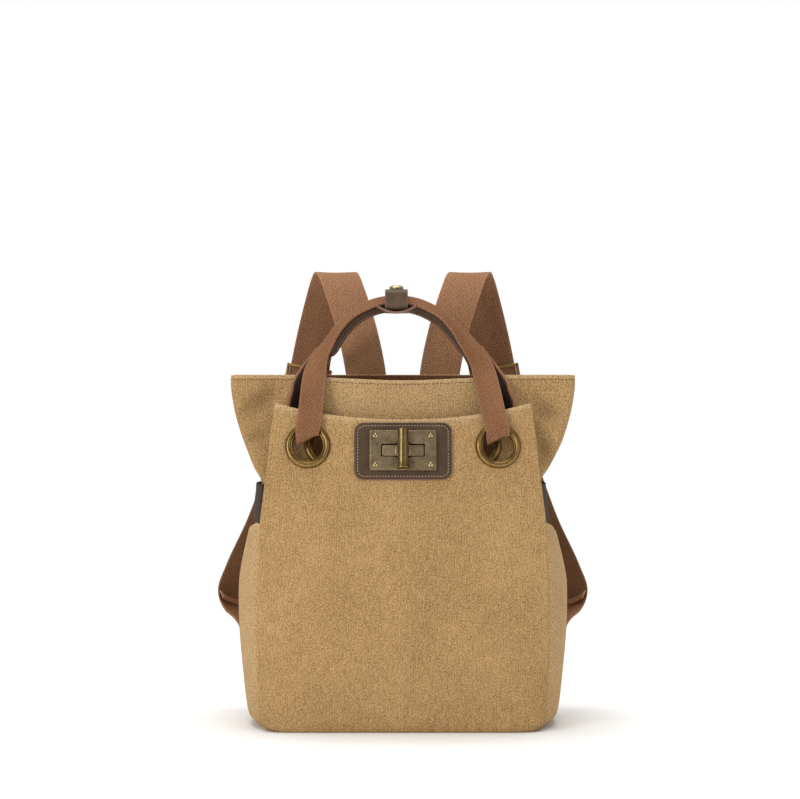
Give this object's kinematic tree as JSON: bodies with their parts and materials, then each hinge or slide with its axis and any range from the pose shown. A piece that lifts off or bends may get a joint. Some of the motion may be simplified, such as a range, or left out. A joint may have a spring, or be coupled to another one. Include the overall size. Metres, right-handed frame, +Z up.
{
  "type": "backpack",
  "caption": "Soft canvas backpack with an open-topped front panel held by a metal turn lock, webbing carrying handles threaded through rings, side pockets and shoulder straps",
  "frame": {"origin": "middle of the flat base, on the surface that the bag stands on", "axes": "+Z up, the front with the turn lock faces -Y, +X to the viewer's right facing the front"},
  "size_m": [0.3564, 0.2097, 0.4233],
  "materials": {
    "canvas": "washed tan cotton canvas, plain weave",
    "leather": "dark brown smooth leather with lighter cut edges",
    "webbing": "reddish brown twill cotton webbing",
    "facing": "reddish brown cloth facing inside the rim",
    "brass": "antique brass, satin, darkened in the recesses"
  },
  "bodies": {
    "bag": {"base": "canvas", "body_front_wall": "canvas", "body_back_wall": "canvas", "side_gusset_left": "canvas", "side_gusset_right": "canvas", "front_panel": "canvas", "side_pocket_left": "canvas", "side_pocket_right": "canvas", "side_tab_left": "leather", "side_tab_right": "leather", "grip_front": "leather", "grip_back": "leather", "handle_keeper": "leather", "lock_patch": "leather", "handle_front": "webbing", "handle_back": "webbing", "strap_left": "webbing", "strap_right": "webbing", "rim_facing": "facing", "grommet_panel_left": "brass", "grommet_panel_right": "brass", "grommet_wall_left": "brass", "grommet_wall_right": "brass", "keeper_stud": "brass", "lock_plate": "brass", "lock_base": "brass", "lock_rivet_1": "brass", "lock_rivet_2": "brass", "lock_rivet_3": "brass", "lock_rivet_4": "brass", "strap_slider_left": "brass", "strap_slider_right": "brass"},
    "toggle": {"lock_toggle": "brass"}
  },
  "joints": [
    {"name": "lock_turn", "type": "hinge", "parent": "bag", "child": "toggle", "pos_m": [0, -0.0644, 0.252], "axis": [0, -0.9701, 0.2425], "range_deg": [0, 90]}
  ]
}
